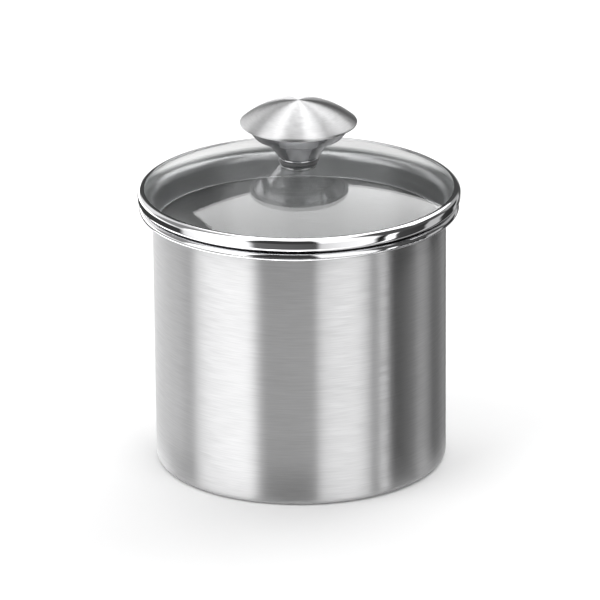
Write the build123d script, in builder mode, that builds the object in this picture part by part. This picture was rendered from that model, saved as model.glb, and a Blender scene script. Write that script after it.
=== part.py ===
from build123d import *
from math import asin, cos, degrees, radians, sin, sqrt
import os

# Round steel bread bin with a lift-off domed glass lid and a steel knob.
# Millimetres. The origin is the centre of the foot ring on the surface it stands on, and +Z is up.
# Every piece but the screw is a profile turned about Z. Profiles are drawn on the XZ plane, as
# (radius, height). A pressed sheet is drawn as the middle line of its metal, then traced to gauge.

# ---------------------------------------------------------------- driving dimensions
running_gap = 0.3            # between pieces that move apart

# Canister
body_radius = 90.0           # outside of the straight wall
rim_top = 165.4              # top of the rolled rim
wall = 0.8                   # gauge of the canister
base_corner = 4.0            # outside radius where the wall meets the foot ring
panel_rise = 1.2             # how far the base panel is pressed up
panel_radius = 80.0          # middle of the step round the panel
panel_step = 2.5             # width of that step
rim_radius = 98.0            # outside of the rolled rim
rim_turn_out = 4.0           # turn from wall to shoulder, at the middle of the sheet
rim_turn_down = 2.6          # turn from shoulder to outside
rim_curl = 1.3               # last curl, which hides the cut edge

# Mouth seal
seal_thickness = 0.6
seal_inner = 90.9
seal_outer = 94.6

# Lid
ring_gauge = 0.6             # sheet of the band and the collar
band_radius = 99.0           # outside of the crimped band
band_height = 8.3
band_lip = 95.1              # radius where the top lip ends on the glass
band_foot = 93.2             # radius where the bottom flange ends
band_top_turn = 3.1
band_low_turn = 2.3
collar_radius = 88.6         # outside of the skirt that drops into the mouth
collar_flange = 96.2         # outside of the flange clamped in the band
collar_depth = 14.8          # how far the skirt hangs below the rim
collar_turn = 4.6
collar_roll = 0.7            # rolled lower edge of the skirt
bed_inner = 95.3             # the silicone stays under the lip
glass_thickness = 4.0
glass_rise = 17.6            # height of the dome's top over the band's lip
glass_radius = 97.0
glass_edge = 1.2             # rounding of the ground edge
hole_radius = 5.0

# Knob and its fixing
knob_foot = 192.8            # height of the knob's underside
knob_gauge = 0.8             # sheet of the cap and the base
cap_radius = 35.8            # widest, at the rounded edge
cap_top = 230.2
cap_sphere = 54.08           # outside radius of the cap's dome
cap_edge = 0.6               # turn of the edge, at the middle of the sheet
cap_fold = 2.0               # width of the fold under the edge
bowl_wall = 11.9             # width of the base's sloping wall, from inside the fold
foot_radius = 12.1           # outside of the knob's foot
gasket_radius = 12.4
washer_radius = 11.0
washer_gauge = 1.0
under_gasket_z = 186.7       # underside of the lower silicone washer
insert_flange = 10.3
insert_boss = 5.5
insert_height = 13.2
screw_radius = 2.5           # M5
screw_length = 20.0
screw_fit = 0.05             # radial clearance of the thread
head_radius = 4.6
head_height = 3.2
recess_width = 1.1
recess_depth = 2.0
sleeve_wall = 2.0            # wall of the sleeve in the glass


def ring_between(label, inner, outer, low, high, cutters=()):
    """A plain ring, less the harder pieces that it is pressed against."""
    with BuildPart() as ring:
        with BuildSketch(Plane.XY.offset(low)):
            Circle(outer)
            Circle(inner, mode=Mode.SUBTRACT)
        extrude(amount=high - low)
        for cutter in cutters:
            add(cutter, mode=Mode.SUBTRACT)
    ring.part.label = label
    return ring.part


# ---------------------------------------------------------------- canister
# One drawn shell: base panel, foot ring, wall, and a rim turned out, down and under.
wall_mid = body_radius - wall / 2
foot_mid_z = wall / 2
panel_mid_z = panel_rise + wall / 2
shoulder_z = rim_top - wall / 2
turn_out_z = shoulder_z - rim_turn_out
rim_mid = rim_radius - wall / 2
turn_down_r = rim_mid - rim_turn_down

with BuildPart() as canister_shell:
    with BuildSketch(Plane.XZ):
        with BuildLine():
            FilletPolyline(
                (0, panel_mid_z),
                (panel_radius - panel_step / 2, panel_mid_z),
                (panel_radius + panel_step / 2, foot_mid_z),
                (wall_mid, foot_mid_z),
                (wall_mid, turn_out_z),
                radius=[wall, wall, base_corner - wall / 2],
            )
            JernArc((wall_mid, turn_out_z), (0, 1), rim_turn_out, -90)
            Line((wall_mid + rim_turn_out, shoulder_z), (turn_down_r, shoulder_z))
            turn_down = JernArc((turn_down_r, shoulder_z), (1, 0), rim_turn_down, -90)
            JernArc(turn_down @ 1, (0, -1), rim_curl, -90)
        trace(line_width=wall)
    revolve(axis=Axis.Z)
canister_shell.part.label = "canister_shell"

# ---------------------------------------------------------------- mouth seal
# Flat silicone ring between the rim's shoulder and the lid.
seal_z = rim_top + running_gap
seal_top = seal_z + seal_thickness
mouth_seal = ring_between("mouth_seal", seal_inner, seal_outer, seal_z, seal_top)

# ---------------------------------------------------------------- lid band
# A U lying on its side: lip on the glass, rounded outside, flange under the collar.
band_low = seal_top + running_gap
band_top = band_low + band_height
band_mid = band_radius - ring_gauge / 2
lip_mid_z = band_top - ring_gauge / 2
flange_mid_z = band_low + ring_gauge / 2

with BuildPart() as lid_band:
    with BuildSketch(Plane.XZ):
        with BuildLine():
            lip_end = (band_mid - band_top_turn, lip_mid_z)
            Line((band_lip, lip_mid_z), lip_end)
            top_turn = JernArc(lip_end, (1, 0), band_top_turn, -90)
            low_turn = JernArc((band_mid, flange_mid_z + band_low_turn), (0, -1), band_low_turn, -90)
            Line(top_turn @ 1, low_turn @ 0)
            Line(low_turn @ 1, (band_foot, flange_mid_z))
        trace(line_width=ring_gauge)
    revolve(axis=Axis.Z)
lid_band.part.label = "lid_band"

# ---------------------------------------------------------------- lid collar
# An L: flange clamped on the band's flange, skirt hanging in the mouth, lower edge rolled in.
collar_mid = collar_radius - ring_gauge / 2
collar_mid_z = band_low + ring_gauge * 3 / 2
skirt_low_z = rim_top - collar_depth + collar_roll + ring_gauge / 2

with BuildPart() as lid_collar:
    with BuildSketch(Plane.XZ):
        with BuildLine():
            bend_start = (collar_mid + collar_turn, collar_mid_z)
            Line((collar_flange, collar_mid_z), bend_start)
            bend = JernArc(bend_start, (-1, 0), collar_turn, 90)
            Line(bend @ 1, (collar_mid, skirt_low_z))
            JernArc((collar_mid, skirt_low_z), (0, -1), collar_roll, -180)
        trace(line_width=ring_gauge)
    revolve(axis=Axis.Z)
lid_collar.part.label = "lid_collar"

# ---------------------------------------------------------------- lid glass
# A dome between two spheres about one centre, with a ground edge and a hole for the knob.
lip_under_z = band_top - ring_gauge
dome_radius = (band_lip ** 2 + glass_rise ** 2) / (2 * glass_rise)
dome_centre_z = lip_under_z + glass_rise - dome_radius


def dome_point(radius, sphere):
    """The point of a sphere about the dome's centre that is this far from the axis."""
    return (radius, dome_centre_z + sqrt(sphere ** 2 - radius ** 2))


with BuildPart() as lid_glass:
    with BuildSketch(Plane.XZ):
        with BuildLine():
            outside = dome_radius
            inside = dome_radius - glass_thickness
            halfway = (hole_radius + glass_radius) / 2
            top_hole = dome_point(hole_radius, outside)
            top_edge = dome_point(glass_radius, outside)
            low_edge = dome_point(glass_radius, inside)
            low_hole = dome_point(hole_radius, inside)
            ThreePointArc(top_hole, dome_point(halfway, outside), top_edge)
            Line(top_edge, low_edge)
            ThreePointArc(low_edge, dome_point(halfway, inside), low_hole)
            Line(low_hole, top_hole)
        ground = make_face()
        fillet(ground.vertices().sort_by(Axis.X)[-2:], glass_edge)
    revolve(axis=Axis.Z)
lid_glass.part.label = "lid_glass"

# ---------------------------------------------------------------- bedding of the glass
# Silicone that fills the band round the edge of the glass, down to the collar's flange.
bed_outer = band_mid - ring_gauge / 2
bed_low = band_low + ring_gauge
bed_top_turn = band_top_turn - ring_gauge / 2
bed_low_turn = band_low_turn - ring_gauge / 2

with BuildPart() as glass_bedding:
    with BuildSketch(Plane.XZ):
        with BuildLine():
            bed_corner = (bed_outer - bed_low_turn, bed_low)
            bed_start = (bed_inner, bed_low)
            Line(bed_start, bed_corner)
            bed_rise = JernArc(bed_corner, (1, 0), bed_low_turn, 90)
            bed_turn = JernArc((bed_outer, lip_under_z - bed_top_turn), (0, 1), bed_top_turn, 90)
            Line(bed_rise @ 1, bed_turn @ 0)
            Polyline(bed_turn @ 1, (bed_inner, lip_under_z), bed_start)
        make_face()
    revolve(axis=Axis.Z)
    add(lid_glass.part, mode=Mode.SUBTRACT)
    add(lid_collar.part, mode=Mode.SUBTRACT)
glass_bedding.part.label = "glass_bedding"

# ---------------------------------------------------------------- knob cap
# A spherical dome whose edge turns under and folds in to hold the base.
cap_mid = cap_sphere - knob_gauge / 2
cap_angle = degrees(asin((cap_radius - knob_gauge / 2 - cap_edge) / (cap_mid - cap_edge)))
fold_slope = 50.0
fold_turn = 180 - cap_angle + fold_slope
fold_inward = Vector(-cos(radians(fold_slope)), -sin(radians(fold_slope)))
fold_upward = Vector(fold_inward.Y, -fold_inward.X)

with BuildPart() as knob_cap:
    with BuildSketch(Plane.XZ):
        with BuildLine():
            dome = JernArc((0, cap_top - knob_gauge / 2), (1, 0), cap_mid, -cap_angle)
            edge = JernArc(dome @ 1, dome % 1, cap_edge, -fold_turn)
            Line(edge @ 1, edge @ 1 + fold_inward * cap_fold)
        trace(line_width=knob_gauge)
    revolve(axis=Axis.Z)
knob_cap.part.label = "knob_cap"

# ---------------------------------------------------------------- knob base
# A stepped shell under the cap: sloping wall held by the fold, flat bottom, cone, and a flat foot.
fold_start = Vector((edge @ 1).X, (edge @ 1).Y)
bowl_start = fold_start + fold_upward * knob_gauge + fold_inward * knob_gauge / 2
bowl_corner = bowl_start + fold_inward * bowl_wall
neck_corner = (21.2, knob_foot + 14.4)
foot_mid = foot_radius - knob_gauge / 2
foot_flange_z = knob_foot + knob_gauge / 2

with BuildPart() as knob_base:
    with BuildSketch(Plane.XZ):
        with BuildLine():
            FilletPolyline(
                bowl_start,
                bowl_corner,
                neck_corner,
                (foot_mid, knob_foot + 1.8),
                (foot_mid, foot_flange_z),
                (insert_flange - 2, foot_flange_z),
                radius=[2.4, 1.6, 0.7, 0.55],
            )
        trace(line_width=knob_gauge)
    revolve(axis=Axis.Z)
knob_base.part.label = "knob_base"

# ---------------------------------------------------------------- knob insert
# Threaded boss with a flange, welded on the inside of the foot.
insert_z = knob_foot + knob_gauge

with BuildPart() as knob_insert:
    with BuildSketch(Plane.XY.offset(insert_z)):
        Circle(insert_flange)
    extrude(amount=knob_gauge * 3 / 2)
    with BuildSketch(Plane.XY.offset(insert_z)):
        Circle(insert_boss)
    extrude(amount=insert_height)
    with BuildSketch(Plane.XY.offset(insert_z)):
        Circle(screw_radius + screw_fit)
    extrude(amount=insert_height, mode=Mode.SUBTRACT)
knob_insert.part.label = "knob_insert"

# ---------------------------------------------------------------- silicone and washers at the hole
bore = hole_radius - screw_fit - sleeve_wall
glass_middle_z = dome_centre_z + dome_radius - glass_thickness / 2
washer_z = under_gasket_z - washer_gauge

knob_gasket = ring_between(
    "knob_gasket", hole_radius, gasket_radius, glass_middle_z, knob_foot, [lid_glass.part]
)
hole_bush = ring_between("hole_bush", bore, hole_radius - screw_fit, under_gasket_z, knob_foot)
under_gasket = ring_between(
    "under_gasket", hole_radius, washer_radius, under_gasket_z, glass_middle_z, [lid_glass.part]
)
under_washer = ring_between("under_washer", bore, washer_radius, washer_z, under_gasket_z)

# ---------------------------------------------------------------- knob screw
# Pan head below the washer, with a cross recess, and a shank up into the insert.
head_z = washer_z - head_height

with BuildPart() as knob_screw:
    with BuildSketch(Plane.XY.offset(head_z)):
        Circle(head_radius)
    extrude(amount=head_height)
    fillet(knob_screw.edges().group_by(Axis.Z)[0], head_height / 2)
    with BuildSketch(Plane.XY.offset(head_z)):
        Rectangle(head_radius, recess_width)
        Rectangle(recess_width, head_radius)
    extrude(amount=recess_depth, mode=Mode.SUBTRACT)
    with BuildSketch(Plane.XY.offset(washer_z)):
        Circle(screw_radius)
    extrude(amount=screw_length)
    chamfer(knob_screw.edges().group_by(Axis.Z)[-1], screw_radius / 4)
knob_screw.part.label = "knob_screw"

# ---------------------------------------------------------------- files
pieces = [
    canister_shell.part,
    mouth_seal,
    lid_band.part,
    lid_collar.part,
    lid_glass.part,
    glass_bedding.part,
    knob_cap.part,
    knob_base.part,
    knob_insert.part,
    knob_gasket,
    hole_bush,
    under_gasket,
    under_washer,
    knob_screw.part,
]
os.makedirs("parts", exist_ok=True)
for piece in pieces:
    export_step(piece, f"parts/{piece.label}.step")
    box = piece.bounding_box()
    print(f"{piece.label:15} {piece.volume:10.1f} mm3  z {box.min.Z:7.2f} to {box.max.Z:7.2f}")
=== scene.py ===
"""Round steel bread bin with a lift-off glass lid: a drawn canister, a banded glass dome and a knob.

Metres, +Z up, origin at the centre of the foot ring. The front faces -Y.
"""

from math import cos, pi, radians, sin, sqrt, tau

import bmesh
import bpy
import numpy as np
from mathutils import Matrix, Vector


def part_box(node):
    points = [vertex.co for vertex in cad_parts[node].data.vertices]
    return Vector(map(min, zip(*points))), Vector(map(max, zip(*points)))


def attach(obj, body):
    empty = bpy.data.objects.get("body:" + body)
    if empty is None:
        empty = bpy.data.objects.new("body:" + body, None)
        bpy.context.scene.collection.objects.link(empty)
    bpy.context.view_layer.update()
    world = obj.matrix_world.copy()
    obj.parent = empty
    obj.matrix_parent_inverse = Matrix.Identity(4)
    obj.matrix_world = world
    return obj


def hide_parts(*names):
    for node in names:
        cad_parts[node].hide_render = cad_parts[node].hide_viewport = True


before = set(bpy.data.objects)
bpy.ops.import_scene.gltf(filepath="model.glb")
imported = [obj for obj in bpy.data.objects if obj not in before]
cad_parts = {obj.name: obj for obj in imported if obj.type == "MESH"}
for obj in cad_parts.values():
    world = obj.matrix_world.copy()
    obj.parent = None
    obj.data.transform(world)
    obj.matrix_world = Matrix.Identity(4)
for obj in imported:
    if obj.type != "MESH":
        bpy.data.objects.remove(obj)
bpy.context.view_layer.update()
mm = 0.001


# ---------------------------------------------------------------------------- camera
# A long lens looks down at the front of the bin from about three metres away.
camera_place = Vector((0.0, -3.1174, 1.2517))
camera_pitch = radians(20.27)
camera_roll = radians(-0.486)
camera_lens = 323.2

camera_data = bpy.data.cameras.new("camera")
camera_data.lens = camera_lens
camera_data.clip_end = 50.0
camera = bpy.data.objects.new("camera", camera_data)
bpy.context.scene.collection.objects.link(camera)
turn = Matrix.Rotation(pi / 2 - camera_pitch, 4, "X") @ Matrix.Rotation(camera_roll, 4, "Z")
camera.matrix_world = Matrix.Translation(camera_place) @ turn
bpy.context.scene.camera = camera


# ---------------------------------------------------------------------------- studio
# White floor and surround. The steel mirrors soft panels of light and the dark gaps between them.
bpy.context.scene.view_settings.view_transform = "Standard"


def material(name):
    """A new material with a Principled shader; returns the material, its tree and the shader."""
    made = bpy.data.materials.new(name)
    made.use_nodes = True
    return made, made.node_tree, made.node_tree.nodes["Principled BSDF"]


def node(tree, kind, inputs=None, **settings):
    """A new node of this kind. inputs are values or sockets by name or number."""
    made = tree.nodes.new(kind)
    for key, value in settings.items():
        setattr(made, key, value)
    for key, value in (inputs or {}).items():
        if isinstance(value, bpy.types.NodeSocket):
            tree.links.new(value, made.inputs[key])
        else:
            made.inputs[key].default_value = value
    return made


def maths(tree, operation, a, b=0.0, c=0.0):
    """The result of one Math node on values or sockets."""
    return node(tree, "ShaderNodeMath", {0: a, 1: b, 2: c}, operation=operation).outputs[0]


def sheet(name, corners, paint):
    """A flat staged piece with these corners, in order."""
    mesh = bpy.data.meshes.new(name)
    mesh.from_pydata(corners, [], [tuple(range(len(corners)))])
    mesh.materials.append(paint)
    made = bpy.data.objects.new(name, mesh)
    bpy.context.scene.collection.objects.link(made)
    return made


# The steel mirrors the floor close by; beyond that it mirrors the surround below.
floor_paint, tree, shader = material("floor_white")
shader.inputs["Base Color"].default_value = (0.93, 0.93, 0.93, 1)
shader.inputs["Roughness"].default_value = 0.9
shader.inputs["Specular IOR Level"].default_value = 0.0
spot = node(tree, "ShaderNodeTexCoord").outputs["Object"]
from_middle = node(tree, "ShaderNodeVectorMath", {0: spot}, operation="LENGTH").outputs["Value"]
beyond = node(tree, "ShaderNodeMapRange", {0: from_middle, 1: 0.092, 2: 0.110}).outputs[0]
mirrored = node(tree, "ShaderNodeLightPath").outputs["Is Glossy Ray"]
gone = maths(tree, "MULTIPLY", beyond, mirrored)
clear = node(tree, "ShaderNodeBsdfTransparent")
layer = node(tree, "ShaderNodeMixShader", {0: gone, 1: shader.outputs[0], 2: clear.outputs[0]})
tree.links.new(layer.outputs[0], tree.nodes["Material Output"].inputs["Surface"])
square = [(-1, -1), (1, -1), (1, 1), (-1, 1)]
floor_half = 2.5
sheet("floor", [(x * floor_half, y * floor_half, 0) for x, y in square], floor_paint)

# An even panel hangs over the bin, from just behind its middle to far behind and far to the right.
# Its plan is in shares of its height over the lid.
panel_height = 1.5
panel_light = 2.6
panel_plan = [(-0.463, 1.12), (-0.222, 0.25), (1.25, 0.25), (1.25, 1.96)]
panel_paint, tree, shader = material("panel_light")
shader.inputs["Base Color"].default_value = (0, 0, 0, 1)
shader.inputs["Specular IOR Level"].default_value = 0.0
shader.inputs["Emission Color"].default_value = (1, 1, 1, 1)
shader.inputs["Emission Strength"].default_value = panel_light
lid_level = 0.17
panel_corners = [(x * panel_height, y * panel_height, panel_height + lid_level) for x, y in panel_plan]
panel = sheet("overhead_panel", panel_corners, panel_paint)
panel.visible_camera = False

world = bpy.data.worlds.new("studio")
bpy.context.scene.world = world
world.use_nodes = True
sky = world.node_tree
direction = node(sky, "ShaderNodeTexCoord").outputs["Generated"]
split = node(sky, "ShaderNodeSeparateXYZ", {0: direction})
bearing = maths(sky, "ARCTAN2", split.outputs["X"], maths(sky, "MULTIPLY", split.outputs["Y"], -1.0))
turn_share = maths(sky, "MULTIPLY_ADD", bearing, 1 / tau, 0.5)


sky_strength = 4.0


def round_the_room(stops):
    """Light by bearing: (degrees from the front, right positive; light), joined by straight lines."""
    ramp = node(sky, "ShaderNodeValToRGB", {0: turn_share})
    elements = ramp.color_ramp.elements
    while len(elements) < len(stops):
        elements.new(0.5)
    for element, (degrees, light) in zip(elements, stops):
        element.position = degrees / 360 + 0.5
        element.color = (light / sky_strength, light / sky_strength, light / sky_strength, 1)
    return ramp.outputs["Color"]


above = round_the_room([
    (-180, 0.08), (-160, 0.08), (-152, 1.1), (-126, 1.1), (-121, 0.35), (-90, 0.35), (-86, 2.1), (-40, 2.1),
    (-35, 0.06), (12, 0.06), (15, 1.6), (56, 1.6), (60, 0.1), (122, 0.1), (127, 0.5), (150, 0.5),
    (156, 0.08), (180, 0.08),
])
level = round_the_room([
    (-180, 0.9), (-167, 1.2), (-162, 3.6), (-127, 3.0), (-116, 2.0), (-98, 1.3), (-92, 1.0), (-86, 1.35),
    (-74, 1.6), (-37, 1.65),
    (-32, 0.19), (12, 0.12), (15, 0.95), (30, 1.3), (54, 1.6), (57, 0.02), (63, 0.02), (65, 2.3),
    (71, 2.3), (73, 0.08), (100, 0.05), (103, 0.7), (118, 0.7), (122, 0.05), (142, 0.03), (145, 0.6),
    (150, 0.6), (153, 0.1), (162, 0.1), (170, 0.8), (180, 0.9),
])
below = round_the_room([
    (-180, 3.2), (-125, 3.2), (-92, 2.1), (-40, 2.6), (-34, 3.95), (10, 3.95), (15, 2.2), (56, 1.6),
    (66, 0.7), (120, 0.5), (141, 0.3), (165, 0.8), (180, 3.2),
])
# A dark screen stands at the left, a little below the lid, and the sky straight above is even.
screen = round_the_room([(-180, 0), (-170, 0), (-167, 1), (-94, 1), (-90, 0), (180, 0)])
height = split.outputs["Z"]
rising = node(sky, "ShaderNodeMapRange", {0: height, 1: 0.03, 2: 0.12}).outputs[0]
falling = node(sky, "ShaderNodeMapRange", {0: height, 1: -0.68, 2: -0.80}).outputs[0]
zenith = node(sky, "ShaderNodeMapRange", {0: height, 1: 0.90, 2: 0.96}).outputs[0]
screen_low = node(sky, "ShaderNodeMapRange", {0: height, 1: -0.52, 2: -0.48}).outputs[0]
screen_high = node(sky, "ShaderNodeMapRange", {0: height, 1: -0.16, 2: -0.20}).outputs[0]
screen_tall = maths(sky, "MULTIPLY", screen_low, screen_high)
screened = maths(sky, "MULTIPLY", screen_tall, maths(sky, "MULTIPLY", screen, sky_strength))
screen_dark, zenith_light = (0.015, 0.015, 0.015, 1), (0.6, 0.6, 0.6, 1)
upper = node(sky, "ShaderNodeMix", {0: rising, 6: level, 7: above}, data_type="RGBA").outputs[2]
lower = node(sky, "ShaderNodeMix", {0: falling, 6: upper, 7: below}, data_type="RGBA").outputs[2]
left = node(sky, "ShaderNodeMix", {0: screened, 6: lower, 7: screen_dark}, data_type="RGBA").outputs[2]
around = node(sky, "ShaderNodeMix", {0: zenith, 6: left, 7: zenith_light}, data_type="RGBA").outputs[2]
path = node(sky, "ShaderNodeLightPath")
panels = node(sky, "ShaderNodeBackground", {"Color": around, "Strength": sky_strength})
white = node(sky, "ShaderNodeBackground", {"Color": (1, 1, 1, 1), "Strength": 1.0})
seen = path.outputs["Is Camera Ray"]
either = node(sky, "ShaderNodeMixShader", {0: seen, 1: panels.outputs[0], 2: white.outputs[0]})
sky.links.new(either.outputs[0], sky.nodes["World Output"].inputs["Surface"])


# ---------------------------------------------------------------------------- canister
# One deep-drawn stainless shell. The wall is brushed round and round, the rim is polished, turned
# out and down, and its cut edge is curled under. The base panel is pressed up inside the foot ring.
body_radius = 90.0 * mm
rim_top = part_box("canister_shell")[1].z
rim_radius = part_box("canister_shell")[1].x
wall_gauge = 0.8 * mm
support = 0.25 * mm


def rounded(points, radii, closed=False, steps=8):
    """A line of straight runs with round corners, as (points, normals to the left of travel).

    A corner that turns by the angle t with radius r starts and ends r tan(t / 2) from its point, and
    the points between turn evenly about the centre, r from both runs. A radius of 0 keeps a corner's
    two normals, one for each run. Each end of a run has a second point close by, so that smooth
    shading stays flat along the run."""
    points = np.asarray(points, float)
    count = len(points)
    radii = np.broadcast_to(radii, count if closed else max(count - 2, 0))
    places, normals = [], []
    for k in range(count):
        here = points[k]
        inner = closed or 0 < k < count - 1
        if not inner:
            other = points[1] - here if k == 0 else here - points[-2]
            left = np.array([-other[1], other[0]]) / np.hypot(*other)
            places.append(here)
            normals.append(left)
            continue
        before = here - points[k - 1]
        after = points[(k + 1) % count] - here
        before, after = before / np.hypot(*before), after / np.hypot(*after)
        bend = np.arctan2(before[0] * after[1] - before[1] * after[0], before @ after)
        radius = radii[k if closed else k - 1]
        setback = radius * abs(np.tan(bend / 2))
        left = np.array([-before[1], before[0]])
        start = here - before * setback
        centre = start + left * radius * np.sign(bend)
        arc_steps = max(2, int(np.ceil(abs(bend) / (pi / 2) * steps)))
        share = np.linspace(0, 1, arc_steps + 1) * bend
        turned_left = np.outer(np.cos(share), left) + np.outer(np.sin(share), [-left[1], left[0]])
        arc = centre - turned_left * radius * np.sign(bend)
        places += [start - before * support, *arc, arc[-1] + after * support]
        normals += [left, *turned_left, turned_left[-1]]
    return np.array(places), np.array(normals)


def sheet_outline(line, gauge, steps=6):
    """The closed outline of a sheet with this middle line: out along one side at half the gauge,
    round the end in a half circle, back along the other side, and round the start."""
    points, normals = line
    half = gauge / 2
    sides = [points + normals * half, (points - normals * half)[::-1]]
    on_axis = points[0, 0] < 1e-9
    turns = np.linspace(0, pi, steps + 1)[1:-1]

    def cap(centre, normal):
        spun = np.outer(np.cos(turns), normal) + np.outer(np.sin(turns), [normal[1], -normal[0]])
        return centre + spun * half

    pieces = [sides[0], cap(points[-1], normals[-1]), sides[1]]
    if not on_axis:
        pieces.append(cap(points[0], -normals[0]))
    return np.concatenate(pieces), not on_axis


def finished(name, mesh, paints, body, replaced=()):
    """The mesh as a finished piece: its materials, its body and the CAD nodes it stands for."""
    piece = bpy.data.objects.new(name, mesh)
    bpy.context.scene.collection.objects.link(piece)
    for paint in paints:
        mesh.materials.append(paint)
    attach(piece, body)
    if replaced:
        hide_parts(*replaced)
    return piece


def turned(name, outline, closed=True, steps=256, shape=None):
    """A mesh turned about Z from an outline of (radius, height).

    Point (i, j) stands at the angle 2 pi i / steps, with the radius and height of outline point j;
    shape(angle, radius, height) may change both. The UV map holds (share of the turn, length along
    the outline in metres). The outline runs anticlockwise round the solid, so faces point outwards."""
    r, z = np.asarray(outline, float).T
    area = np.sum(r * np.roll(z, -1) - np.roll(r, -1) * z)
    if area < 0:
        r, z = r[::-1], z[::-1]
    rings = len(r)
    length = np.concatenate([[0], np.cumsum(np.hypot(np.diff(r), np.diff(z)))])
    length = np.append(length, length[-1] + np.hypot(r[0] - r[-1], z[0] - z[-1]))
    angle = np.arange(steps)[:, None] * (tau / steps)
    r, z = np.broadcast_to(r, (steps, rings)), np.broadcast_to(z, (steps, rings))
    if shape is not None:
        r, z = shape(angle, r, z)
    vertices = np.stack([r * np.cos(angle), r * np.sin(angle), z], 2).reshape(-1, 3)
    i = np.arange(steps)[:, None]
    j = np.arange(rings if closed else rings - 1)[None, :]
    i, j = np.broadcast_arrays(i, j)
    around = [(i, j), (i + 1, j), (i + 1, j + 1), (i, j + 1)]
    corner = np.stack([(a % steps) * rings + b % rings for a, b in around], 2).reshape(-1, 4)
    uv = np.stack([np.stack([a / steps, length[b]], 2) for a, b in around], 2).reshape(-1, 2)
    mesh = bpy.data.meshes.new(name)
    mesh.from_pydata(vertices.tolist(), [], corner.tolist())
    mesh.uv_layers.new(name="turned").data.foreach_set("uv", uv.astype(np.float32).ravel())
    merged = bmesh.new()
    merged.from_mesh(mesh)
    bmesh.ops.remove_doubles(merged, verts=merged.verts, dist=1e-8)
    merged.to_mesh(mesh)
    merged.free()
    mesh.shade_smooth()
    return mesh


def paint_by_height(mesh, split_z, outside_radius):
    """Gives the second material to the faces above split_z and further out than outside_radius."""
    centres = np.empty(len(mesh.polygons) * 3, np.float32)
    mesh.polygons.foreach_get("center", centres)
    centres = centres.reshape(-1, 3)
    second = (centres[:, 2] > split_z) & (np.hypot(centres[:, 0], centres[:, 1]) > outside_radius)
    mesh.polygons.foreach_set("material_index", second.astype(np.int32))


def group(name, inputs, outputs):
    """An empty shader node group with these named value inputs and outputs."""
    made = bpy.data.node_groups.new(name, "ShaderNodeTree")
    for label, kind, value in inputs:
        socket = made.interface.new_socket(label, in_out="INPUT", socket_type=kind)
        if value is not None:
            socket.default_value = value
    for label in outputs:
        made.interface.new_socket(label, in_out="OUTPUT", socket_type="NodeSocketFloat")
    return made, node(made, "NodeGroupInput"), node(made, "NodeGroupOutput")


# Brushing: long thin lines round the piece, from noise that is stretched along the turn.
brushing, given, result = group(
    "brushing",
    [("Lines", "NodeSocketFloat", 3200.0), ("Length", "NodeSocketFloat", 16.0)],
    ["Streak", "Fine"],
)
uv_split = node(brushing, "ShaderNodeSeparateXYZ", {0: node(brushing, "ShaderNodeTexCoord").outputs["UV"]})
spin = maths(brushing, "MULTIPLY", uv_split.outputs["X"], tau)
across = maths(brushing, "MULTIPLY", maths(brushing, "SINE", spin), given.outputs["Length"])
ahead = maths(brushing, "MULTIPLY", maths(brushing, "COSINE", spin), given.outputs["Length"])
along = maths(brushing, "MULTIPLY", uv_split.outputs["Y"], given.outputs["Lines"])
stretched = node(brushing, "ShaderNodeCombineXYZ", {"X": across, "Y": ahead, "Z": along}).outputs[0]
coarse = node(brushing, "ShaderNodeTexNoise", {"Vector": stretched, "Scale": 0.35, "Detail": 2.0})
fine = node(brushing, "ShaderNodeTexNoise", {"Vector": stretched, "Scale": 1.0, "Detail": 3.0})
brushing.links.new(coarse.outputs["Fac"], result.inputs["Streak"])
brushing.links.new(fine.outputs["Fac"], result.inputs["Fine"])

# Handling: soft cloudy patches where the metal has been wiped and touched.
handling, given, result = group("handling", [("Size", "NodeSocketFloat", 40.0)], ["Patch"])
place = node(handling, "ShaderNodeTexCoord").outputs["Object"]
size = given.outputs["Size"]
cloud = node(handling, "ShaderNodeTexNoise", {"Vector": place, "Scale": size, "Detail": 3.0})
handling.links.new(cloud.outputs["Fac"], result.inputs["Patch"])


def grouped(tree, shared, **inputs):
    """A node that places a shared group in a material with its own values."""
    made = node(tree, "ShaderNodeGroup", node_tree=shared)
    for key, value in inputs.items():
        made.inputs[key].default_value = value
    return made


def touched(tree, size, change, roughness):
    """The roughness that handling patches of this size leave, from -change / 2 to change / 2 round it."""
    patch = grouped(tree, handling, Size=size).outputs["Patch"]
    return maths(tree, "MULTIPLY_ADD", maths(tree, "SUBTRACT", patch, 0.5), change, roughness)


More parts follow.
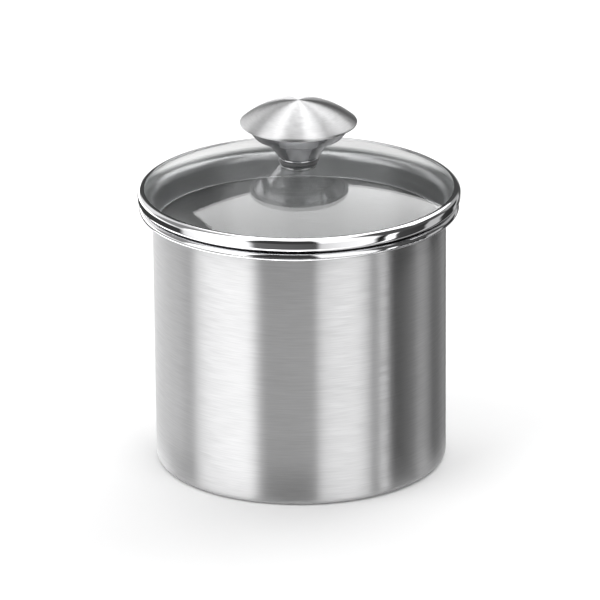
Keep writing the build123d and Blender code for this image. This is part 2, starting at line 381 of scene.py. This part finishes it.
def steel(name, colour, roughness, grain=0.0, anisotropy=0.0, lines=3200.0, bump=0.0, patch=0.03):
    """Bare steel. grain is how far brushing changes colour and roughness, and patch is how far handling
    changes roughness. Anisotropy blurs a mirror image across the brushed lines, along the profile."""
    made, tree, shader = material(name)
    shader.inputs["Metallic"].default_value = 1.0
    rough = touched(tree, 45.0, patch, roughness)
    shader.inputs["Base Color"].default_value = (*colour, 1)
    if grain:
        lined = grouped(tree, brushing, Lines=lines)
        streak = lined.outputs["Streak"]
        rough = maths(tree, "MULTIPLY_ADD", maths(tree, "SUBTRACT", streak, 0.5), grain, rough)
        dark = (*(c * (1 - grain) for c in colour), 1)
        tint = node(tree, "ShaderNodeMix", {"Factor": streak, 6: (*colour, 1), 7: dark}, data_type="RGBA")
        tree.links.new(tint.outputs[2], shader.inputs["Base Color"])
        if bump:
            ridges = {"Height": lined.outputs["Fine"], "Strength": bump, "Distance": 0.02 * mm}
            raised = node(tree, "ShaderNodeBump", ridges)
            tree.links.new(raised.outputs["Normal"], shader.inputs["Normal"])
    if anisotropy:
        shader.inputs["Anisotropic"].default_value = anisotropy
        shader.inputs["Anisotropic Rotation"].default_value = 0.25
        along = node(tree, "ShaderNodeTangent", direction_type="UV_MAP", uv_map="turned")
        tree.links.new(along.outputs["Tangent"], shader.inputs["Tangent"])
    tree.links.new(rough, shader.inputs["Roughness"])
    return made


satin_steel = steel(
    "satin_steel", (0.68, 0.68, 0.685), 0.38, grain=0.22, anisotropy=1.0, lines=5200.0, bump=0.2
)
polished_steel = steel("polished_steel", (0.68, 0.68, 0.69), 0.07)

wall_mid = body_radius - wall_gauge / 2
rim_mid = rim_radius - wall_gauge / 2
shoulder_z = rim_top - wall_gauge / 2
panel_z = 1.6 * mm
panel_edge = 78.75 * mm
foot_edge = 81.25 * mm
curl_low = shoulder_z - 3.9 * mm
curl_width = 1.4 * mm
shell_line = rounded(
    [
        (0, panel_z),
        (panel_edge, panel_z),
        (foot_edge, wall_gauge / 2),
        (wall_mid, wall_gauge / 2),
        (wall_mid, shoulder_z),
        (rim_mid, shoulder_z),
        (rim_mid, curl_low),
        (rim_mid - curl_width, curl_low),
    ],
    np.array([0.8, 0.8, 3.6, 4.0, 2.6, 1.25]) * mm,
    steps=12,
)
shell_outline, shell_closed = sheet_outline(shell_line, wall_gauge)
shell_mesh = turned("canister", shell_outline, shell_closed, steps=320)
polish_line = rim_top - 5.6 * mm
paint_by_height(shell_mesh, polish_line, body_radius - wall_gauge * 1.5)
shell_paints = [satin_steel, polished_steel]
finished("canister", shell_mesh, shell_paints, "canister", ["canister_shell"])


# ---------------------------------------------------------------------------- mouth seal
# A flat ring of dark silicone, cut from sheet. It lies on the rim's shoulder under the lid, and is the
# dark line between the two.
def solid_ring(name, inner, outer, low, high, edge, steps=128):
    """A turned ring of rectangular section with rounded edges."""
    corners = [(outer, low), (outer, high), (inner, high), (inner, low)]
    return turned(name, rounded(corners, edge, closed=True, steps=4)[0], steps=steps)


def plain(name, colour, roughness, specular=0.5):
    """One even colour with a little handling in its gloss."""
    made, tree, shader = material(name)
    shader.inputs["Base Color"].default_value = (*colour, 1)
    shader.inputs["Specular IOR Level"].default_value = specular
    tree.links.new(touched(tree, 60.0, 0.08, roughness), shader.inputs["Roughness"])
    return made


seal_low, seal_high = (corner.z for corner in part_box("mouth_seal"))
seal_mesh = solid_ring("mouth_seal_ring", 90.9 * mm, 94.6 * mm, seal_low, seal_high, 0.2 * mm, 192)
seal_silicone = plain("seal_silicone", (0.03, 0.03, 0.032), 0.5)
finished("mouth_seal_ring", seal_mesh, [seal_silicone], "seal", ["mouth_seal"])


# ---------------------------------------------------------------------------- lid band
# A polished stainless strip, rolled into a U and crimped over the edge of the glass. Its two ends are
# butt welded at the back and dressed, which leaves a fine line.
band_low, band_high = (corner.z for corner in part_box("lid_band"))
band_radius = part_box("lid_band")[1].x
band_gauge = 0.6 * mm
band_mid = band_radius - band_gauge / 2
lip_radius = 95.1 * mm
lip_z = band_high - band_gauge / 2
flange_radius = 93.2 * mm
flange_z = band_low + band_gauge / 2
band_line = rounded(
    [(lip_radius, lip_z), (band_mid, lip_z), (band_mid, flange_z), (flange_radius, flange_z)],
    np.array([3.1, 2.3]) * mm,
    steps=14,
)
weld_angle = pi / 2
weld_width = 0.4 * mm
weld_depth = 0.06 * mm


def welded(angle, r, z):
    """Sinks the surface by weld_depth exp(-(s / weld_width)^2), with s the distance round from the weld."""
    apart = (angle - weld_angle) * r
    return r - weld_depth * np.exp(-((apart / weld_width) ** 2)), z


band_outline, band_closed = sheet_outline(band_line, band_gauge)
band_mesh = turned("lid_ring", band_outline, band_closed, steps=720, shape=welded)
finished("lid_ring", band_mesh, [polished_steel], "lid", ["lid_band"])


# ---------------------------------------------------------------------------- lid collar
# A stainless L under the glass. Its flange is clamped in the band, and its skirt drops into the mouth.
collar_low, collar_high = (corner.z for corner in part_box("lid_collar"))
collar_edge = 96.2 * mm
skirt_radius = 88.6 * mm
collar_mid = skirt_radius - band_gauge / 2
skirt_low = collar_low + band_gauge / 2
collar_flange_z = collar_high - band_gauge / 2
collar_roll = 0.7 * mm
collar_line = rounded(
    [
        (collar_edge, collar_flange_z),
        (collar_mid, collar_flange_z),
        (collar_mid, skirt_low),
        (collar_mid - 2 * collar_roll, skirt_low),
        (collar_mid - 2 * collar_roll, skirt_low + 1.1 * collar_roll),
    ],
    np.array([4.6, 0.69, 0.69]) * mm,
    steps=16,
)
collar_outline, collar_closed = sheet_outline(collar_line, band_gauge)
collar_steel = steel("collar_steel", (0.70, 0.70, 0.71), 0.32, grain=0.16, anisotropy=0.8)
collar_mesh = turned("collar", collar_outline, collar_closed)
finished("collar", collar_mesh, [collar_steel], "lid", ["lid_collar"])


# ---------------------------------------------------------------------------- lid glass
# A dome of clear soda-lime glass, 4 mm thick, sagged in a mould and tempered. Its edge is ground, and
# one hole is drilled for the knob.
lip_under = band_high - band_gauge
glass_gauge = 4.0 * mm
glass_edge_radius = 97.0 * mm
glass_hole = 5.0 * mm
glass_round = 1.2 * mm
glass_rise = 17.6 * mm
dome = (lip_radius**2 + glass_rise**2) / (2 * glass_rise)
dome_z = lip_under + glass_rise - dome


def dome_arc(sphere, start, end, count=48):
    """Points (r, z) on a sphere about the dome's centre, evenly from one radius to another."""
    r = np.linspace(start, end, count)
    return np.stack([r, dome_z + np.sqrt(sphere**2 - r**2)], 1)


def dome_edge(sphere, radius):
    """The one point of dome_arc at this radius."""
    return (radius, dome_z + sqrt(sphere**2 - radius**2))


under = dome - glass_gauge
hole_edge = 0.5 * mm
ground = rounded(
    [
        dome_edge(under, glass_edge_radius - 4 * glass_round),
        dome_edge(under, glass_edge_radius),
        dome_edge(dome, glass_edge_radius),
        dome_edge(dome, glass_edge_radius - 4 * glass_round),
    ],
    glass_round,
)[0]
drilled = rounded(
    [
        dome_edge(dome, glass_hole + 4 * hole_edge),
        dome_edge(dome, glass_hole),
        dome_edge(under, glass_hole),
        dome_edge(under, glass_hole + 4 * hole_edge),
    ],
    hole_edge,
)[0]
glass_outline = np.concatenate(
    [
        ground,
        dome_arc(dome, glass_edge_radius - 5 * glass_round, glass_hole + 5 * hole_edge),
        drilled,
        dome_arc(under, glass_hole + 5 * hole_edge, glass_edge_radius - 5 * glass_round),
    ]
)
clear_glass, tree, shader = material("clear_glass")
shader.inputs["Base Color"].default_value = (0.975, 0.98, 0.98, 1)
shader.inputs["Roughness"].default_value = 0.0
shader.inputs["IOR"].default_value = 1.52
shader.inputs["Transmission Weight"].default_value = 1.0
rays = node(tree, "ShaderNodeLightPath")
clear = node(tree, "ShaderNodeBsdfTransparent", {"Color": (0.9, 0.93, 0.92, 1)})
shadow = rays.outputs["Is Shadow Ray"]
lamps_pass = node(tree, "ShaderNodeMixShader", {0: shadow, 1: shader.outputs[0], 2: clear.outputs[0]})
tree.links.new(lamps_pass.outputs[0], tree.nodes["Material Output"].inputs["Surface"])
glass_mesh = turned("glass_dome", glass_outline)
finished("glass_dome", glass_mesh, [clear_glass], "lid", ["lid_glass"])


# ---------------------------------------------------------------------------- bedding
# Pale silicone squeezed into the band round the edge of the glass, down to the collar's flange. It
# cures in place and holds the glass, the band and the collar together.
bed_outer = band_mid - band_gauge / 2
bed_inner = 95.3 * mm
bed_low = flange_z + band_gauge / 2
bed_outline = np.concatenate(
    [
        rounded(
            [
                (96.3 * mm, collar_high),
                (96.4 * mm, bed_low),
                (bed_outer, bed_low),
                (bed_outer, lip_under),
                (bed_inner, lip_under),
            ],
            np.array([0.05, 2.0, 2.8]) * mm,
        )[0],
        dome_arc(dome, bed_inner, glass_edge_radius - 1.2 * mm, 4),
        [dome_edge(dome - 1.2 * mm, glass_edge_radius), dome_edge(under + 1.2 * mm, glass_edge_radius)],
        dome_arc(under, glass_edge_radius - 1.2 * mm, bed_inner, 4),
        [(bed_inner, collar_high)],
    ]
)
bedding_silicone = plain("bedding_silicone", (0.62, 0.63, 0.63), 0.35)
bed_mesh = turned("bedding", bed_outline)
finished("bedding", bed_mesh, [bedding_silicone], "lid", ["glass_bedding"])


# ---------------------------------------------------------------------------- knob cap
# A spun dome with a satin finish. Its edge turns under, and a fold grips the base's flange.
knob_gauge = 0.8 * mm
cap_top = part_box("knob_cap")[1].z
cap_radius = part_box("knob_cap")[1].x
cap_mid = 54.08 * mm - knob_gauge / 2
cap_turn = 0.6 * mm
cap_angle = np.arcsin((cap_radius - knob_gauge / 2 - cap_turn) / (cap_mid - cap_turn))
cap_centre_z = cap_top - knob_gauge / 2 - cap_mid
fold_slope = radians(50.0)


def arc(centre, radius, start, end, count):
    """A clockwise arc as (points, left normals). Angles are from the vertical, and grow to the right."""
    t = np.linspace(start, end, count)
    normals = np.stack([np.sin(t), np.cos(t)], 1)
    return np.asarray(centre) + normals * radius, normals


def joined(*lines):
    """Lines that meet end to end, as one."""
    return np.concatenate([line[0] for line in lines]), np.concatenate([line[1] for line in lines])


cap_dome = arc((0, cap_centre_z), cap_mid, 0, cap_angle, 56)
edge_centre = np.array([0, cap_centre_z]) + cap_dome[1][-1] * (cap_mid - cap_turn)
cap_edge = arc(edge_centre, cap_turn, cap_angle, pi + fold_slope, 24)
inward = np.array([-cos(fold_slope), -sin(fold_slope)])
fold_width = 2.0 * mm
fold_end = cap_edge[0][-1] + inward * fold_width
cap_fold = (np.array([cap_edge[0][-1] + inward * support, fold_end]), np.array([cap_edge[1][-1]] * 2))
cap_outline, cap_closed = sheet_outline(joined(cap_dome, cap_edge, cap_fold), knob_gauge)
cap_steel = steel(
    "knob_satin_steel", (0.80, 0.80, 0.805), 0.46, grain=0.18, anisotropy=1.0, lines=3600.0, bump=0.06
)
cap_mesh = turned("knob_dome", cap_outline, cap_closed)
finished("knob_dome", cap_mesh, [cap_steel], "lid", ["knob_cap"])


# ---------------------------------------------------------------------------- knob base
# A polished shell under the cap: a flange in the cap's fold, a shallow bowl, a cone and a flat foot.
foot_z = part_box("knob_base")[0].z
foot_mid = 12.1 * mm - knob_gauge / 2
foot_flange = 8.3 * mm
foot_height = 1.8 * mm
neck_radius, neck_height = 21.2 * mm, 14.4 * mm
bowl_wall = 11.9 * mm
flange_up = np.array([inward[1], -inward[0]]) * knob_gauge
bowl_start = cap_edge[0][-1] + flange_up + inward * knob_gauge / 2
base_line = rounded(
    [
        bowl_start,
        bowl_start + inward * bowl_wall,
        (neck_radius, foot_z + neck_height),
        (foot_mid, foot_z + foot_height),
        (foot_mid, foot_z + knob_gauge / 2),
        (foot_flange, foot_z + knob_gauge / 2),
    ],
    np.array([2.4, 1.6, 0.7, 0.55]) * mm,
    steps=20,
)
base_outline, base_closed = sheet_outline(base_line, knob_gauge)
# Its colour is darker than the other polished steel: painted shade for the dark glass and inside that the
# base mirrors.
knob_base_steel_painted_shade = steel("knob_polished_steel", (0.50, 0.50, 0.51), 0.09)
base_mesh = turned("knob_stem", base_outline, base_closed)
finished("knob_stem", base_mesh, [knob_base_steel_painted_shade], "lid", ["knob_base"])


# ---------------------------------------------------------------------------- knob insert
# A turned boss of stainless bar, welded inside the foot of the knob. Its thread takes the screw.
bore_radius = 2.5 * mm
thread_pitch = 0.8 * mm
thread_depth = 0.25 * mm
insert_low, insert_high = (corner.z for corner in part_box("knob_insert"))
insert_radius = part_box("knob_insert")[1].x
boss_radius = 5.5 * mm
insert_step = insert_low + 1.2 * mm


def threaded(radius, low, high, rows):
    """Points (r, z) up a bore whose radius is radius + depth |sin(pi z / pitch)|, its thread's grooves."""
    z = np.linspace(low, high, rows)
    return np.stack([radius + thread_depth * np.abs(np.sin(pi * (z - low) / thread_pitch)), z], 1)


insert_corners = rounded(
    [
        (bore_radius + 0.1 * mm, insert_low),
        (insert_radius, insert_low),
        (insert_radius, insert_step),
        (boss_radius, insert_step),
        (boss_radius, insert_high),
        (bore_radius + 0.1 * mm, insert_high),
    ],
    np.array([0.3, 0.3, 0.6, 0.4]) * mm,
    steps=6,
)[0]
insert_bore = threaded(bore_radius + 0.05 * mm, insert_low + 0.2 * mm, insert_high - 0.2 * mm, 130)[::-1]
insert_mesh = turned("knob_boss", np.concatenate([insert_corners, insert_bore]), steps=64)
fixing_steel = steel("fixing_steel", (0.58, 0.58, 0.57), 0.26, grain=0.05, patch=0.08)
finished("knob_boss", insert_mesh, [fixing_steel], "lid", ["knob_insert"])


# ---------------------------------------------------------------------------- gaskets and sleeve
# Two soft grey silicone washers grip the glass, one above and one below. A clear nylon sleeve keeps
# the screw off the edge of the hole. All three are moulded, and the sleeve has a small round on its edges.
def washer_to_dome(name, inner, outer, flat, sphere, bulge, steps=128):
    """A turned washer between a flat face and the dome; its outer wall swells by bulge at the middle."""
    curved = dome_arc(sphere, inner, outer, 12)
    edge_z = curved[-1, 1]
    share = np.linspace(0, 1, 9)[1:-1]
    wall = np.stack([outer + bulge * np.sin(pi * share), edge_z + (flat - edge_z) * share], 1)
    outline = np.concatenate([curved, wall, [(outer, flat), (inner, flat)]])
    return turned(name, outline, steps=steps)


gasket_hole, gasket_top = 5.0 * mm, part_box("knob_gasket")[1].z
gasket_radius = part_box("knob_gasket")[1].x
under_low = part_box("under_gasket")[0].z
under_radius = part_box("under_gasket")[1].x
skin = 0.01 * mm
gasket_silicone = plain("gasket_silicone", (0.16, 0.16, 0.165), 0.42)
upper_mesh = washer_to_dome(
    "knob_gasket_ring", gasket_hole, gasket_radius, gasket_top, dome + skin, -0.15 * mm
)
finished("knob_gasket_ring", upper_mesh, [gasket_silicone], "lid", ["knob_gasket"])
lower_mesh = washer_to_dome(
    "under_gasket_ring", gasket_hole, under_radius, under_low, under - skin, 0.2 * mm
)
finished("under_gasket_ring", lower_mesh, [gasket_silicone], "lid", ["under_gasket"])

sleeve_low, sleeve_high = (corner.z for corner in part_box("hole_bush"))
sleeve_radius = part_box("hole_bush")[1].x
sleeve_bore = sleeve_radius - 2.0 * mm
sleeve_mesh = solid_ring("sleeve", sleeve_bore, sleeve_radius, sleeve_low, sleeve_high, 0.3 * mm, 64)
bush_nylon = plain("bush_nylon", (0.72, 0.72, 0.70), 0.38)
finished("sleeve", sleeve_mesh, [bush_nylon], "lid", ["hole_bush"])


# ---------------------------------------------------------------------------- washer and screw
# A wide stamped washer spreads the load on the lower gasket. A pan-head screw with a cross recess goes
# up through it into the boss. The screw's own solid already has the right shape.
washer_low, washer_high = (corner.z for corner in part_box("under_washer"))
washer_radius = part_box("under_washer")[1].x
washer_mesh = solid_ring("washer", sleeve_bore, washer_radius, washer_low, washer_high, 0.25 * mm)
finished("washer", washer_mesh, [fixing_steel], "lid", ["under_washer"])

screw_steel, tree, shader = material("screw_steel")
shader.inputs["Metallic"].default_value = 1.0
worn = grouped(tree, handling, Size=260.0).outputs["Patch"]
tree.links.new(maths(tree, "MULTIPLY_ADD", worn, 0.16, 0.18), shader.inputs["Roughness"])
bright, dull = (0.60, 0.60, 0.59, 1), (0.50, 0.50, 0.50, 1)
shade = node(tree, "ShaderNodeMix", {"Factor": worn, 6: bright, 7: dull}, data_type="RGBA")
tree.links.new(shade.outputs[2], shader.inputs["Base Color"])
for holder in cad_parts["knob_screw"].material_slots:
    holder.material = screw_steel
